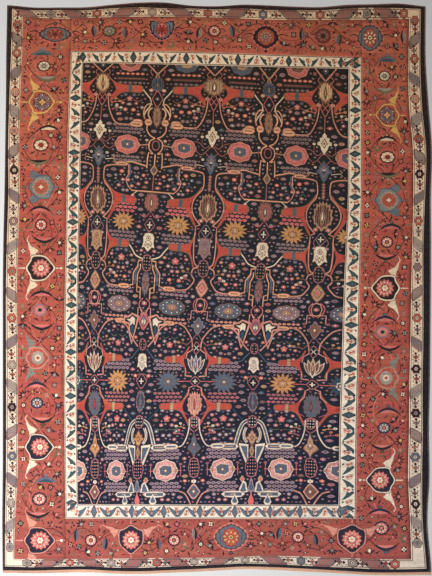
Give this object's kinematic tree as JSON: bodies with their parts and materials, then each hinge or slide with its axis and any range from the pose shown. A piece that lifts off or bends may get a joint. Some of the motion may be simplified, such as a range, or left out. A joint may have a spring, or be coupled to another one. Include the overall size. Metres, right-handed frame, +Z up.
{
  "type": "persian rug",
  "caption": "Flat hand-knotted wool carpet with uneven edges, overcast long sides and thin flat-woven ends.",
  "frame": {"origin": "middle of the carpet's outline, on the floor under it", "axes": "+Y along the carpet towards its head end, +X across it to the right with the head end up, +Z up out of the pile"},
  "size_m": [3.094, 4.1298, 0.011],
  "materials": {
    "pile_wool": "low worn wool pile in madder, indigo and ivory dyes, matt",
    "selvedge_wool": "tight wool overcasting, matt",
    "kilim_wool": "thin plain-woven wool, matt"
  },
  "bodies": {
    "root": {"rug_pile": "pile_wool", "selvedge_left": "selvedge_wool", "selvedge_right": "selvedge_wool", "kilim_end_head": "kilim_wool", "kilim_end_foot": "kilim_wool"}
  },
  "joints": []
}
